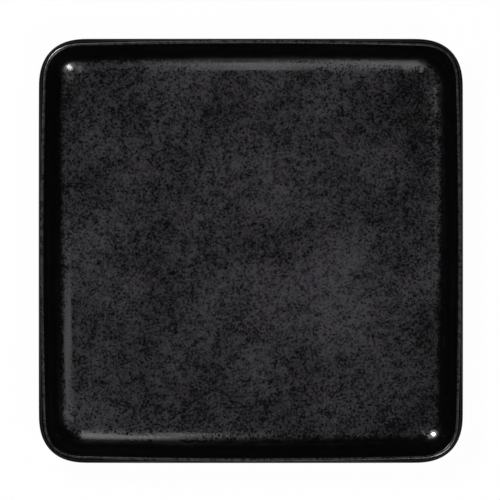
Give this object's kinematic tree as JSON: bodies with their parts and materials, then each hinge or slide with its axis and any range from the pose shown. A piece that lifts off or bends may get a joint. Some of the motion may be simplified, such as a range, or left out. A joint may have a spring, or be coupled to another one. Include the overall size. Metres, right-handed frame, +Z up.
{
  "type": "square plate",
  "caption": "Square stoneware plate with a flat well, a curved upright wall, a narrow rim, soft corners and a low foot ring, glazed black with a charcoal speckle.",
  "frame": {"origin": "under the middle of the plate, in the plane of the foot ring's standing face", "axes": "+Z up out of the well, X and Y along the two straight pairs of sides"},
  "size_m": [0.24, 0.24, 0.022],
  "materials": {
    "clay": "bare fired stoneware, matt and slightly gritty",
    "black_glaze": "satin black glaze",
    "underside_glaze": "satin black glaze",
    "well_speckle": "satin charcoal glaze that breaks into black flecks",
    "rim_speckle": "satin charcoal glaze, thin and broken over the rim"
  },
  "bodies": {
    "root": {"stoneware_body": "clay", "black_glaze": "black_glaze", "underside_glaze": "underside_glaze", "well_speckle": "well_speckle", "rim_speckle": "rim_speckle"}
  },
  "joints": []
}
